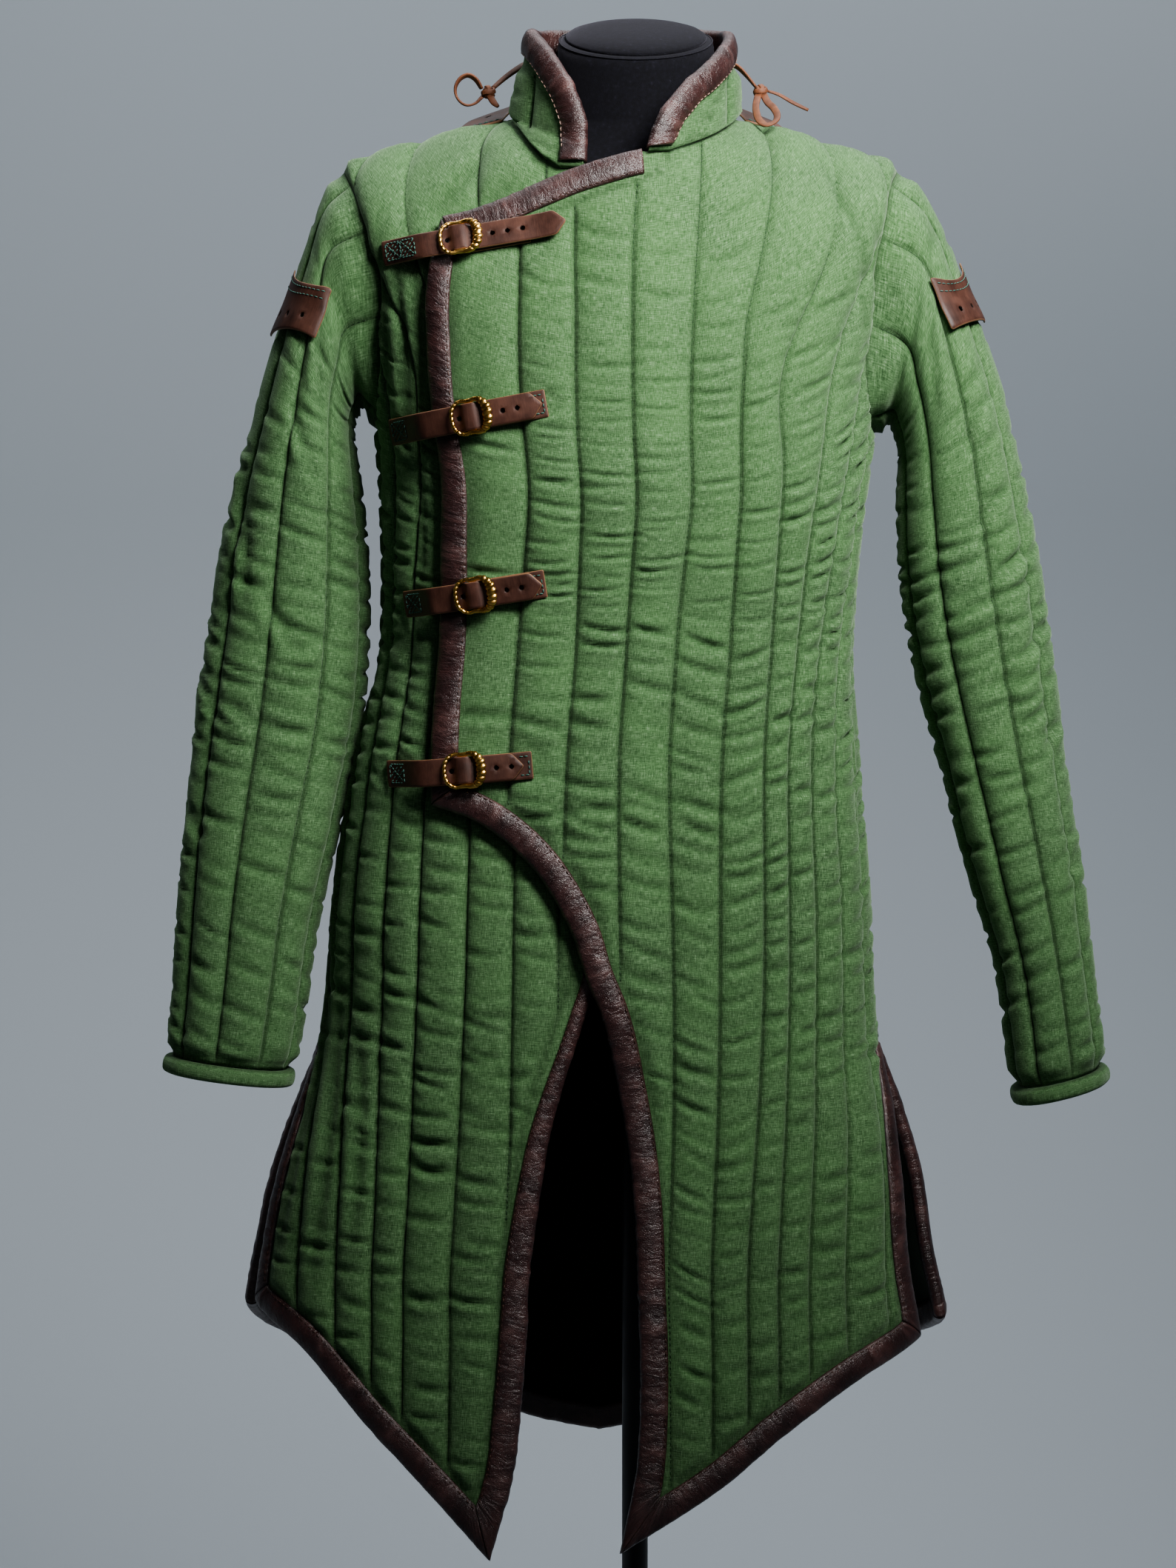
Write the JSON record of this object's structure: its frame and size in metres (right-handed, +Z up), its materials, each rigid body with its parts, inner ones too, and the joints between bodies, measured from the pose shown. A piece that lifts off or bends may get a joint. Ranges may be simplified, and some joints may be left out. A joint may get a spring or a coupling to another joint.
{
  "type": "gambeson on a dress form",
  "caption": "Quilted long-sleeved gambeson with a stand collar, leather-bound edges and buckled straps, worn on a limbless dress form with a pole and round base.",
  "frame": {"origin": "centre of the underside of the stand's round base", "axes": "+Z up along the pole, -Y towards the coat's front, +X towards the side that the overlap comes from"},
  "size_m": [0.684, 0.4, 1.5779],
  "materials": {
    "linen": "green woven linen, quilted over padding, matt",
    "binding_leather": "dark red-brown grained leather, folded, low sheen",
    "strap_leather": "mid brown suede-like leather, matt",
    "lace_leather": "tan leather thong, matt",
    "brass": "cast brass, polished with dark hollows",
    "form_cloth": "black stretch cloth over foam",
    "stand_steel": "dark powder-coated steel"
  },
  "bodies": {
    "root": {"anchor_left": "strap_leather", "anchor_right": "strap_leather", "back": "linen", "buckle_1": "brass", "buckle_2": "brass", "buckle_3": "brass", "buckle_4": "brass", "chape_1": "strap_leather", "chape_2": "strap_leather", "chape_3": "strap_leather", "chape_4": "strap_leather", "closing_binding": "binding_leather", "collar": "linen", "collar_binding": "binding_leather", "cuff_left": "linen", "cuff_right": "linen", "edge_binding_underlap": "binding_leather", "form_base": "stand_steel", "form_body": "form_cloth", "form_cap": "form_cloth", "form_pole": "stand_steel", "front_overlap": "linen", "front_underlap": "linen", "hem_binding_back": "binding_leather", "hem_binding_overlap": "binding_leather", "hem_binding_underlap": "binding_leather", "knot_left": "lace_leather", "knot_right": "lace_leather", "lace_left_loop": "lace_leather", "lace_left_strand": "lace_leather", "lace_left_tail": "lace_leather", "lace_right_loop": "lace_leather", "lace_right_strand": "lace_leather", "lace_right_tail": "lace_leather", "neckline_binding": "binding_leather", "sleeve_left": "linen", "sleeve_right": "linen", "strap_1": "strap_leather", "strap_2": "strap_leather", "strap_3": "strap_leather", "strap_4": "strap_leather", "sweep_binding": "binding_leather", "tab_left": "strap_leather", "tab_right": "strap_leather", "vent_binding_back_left": "binding_leather", "vent_binding_back_right": "binding_leather", "vent_binding_overlap": "binding_leather", "vent_binding_underlap": "binding_leather"}
  },
  "joints": []
}
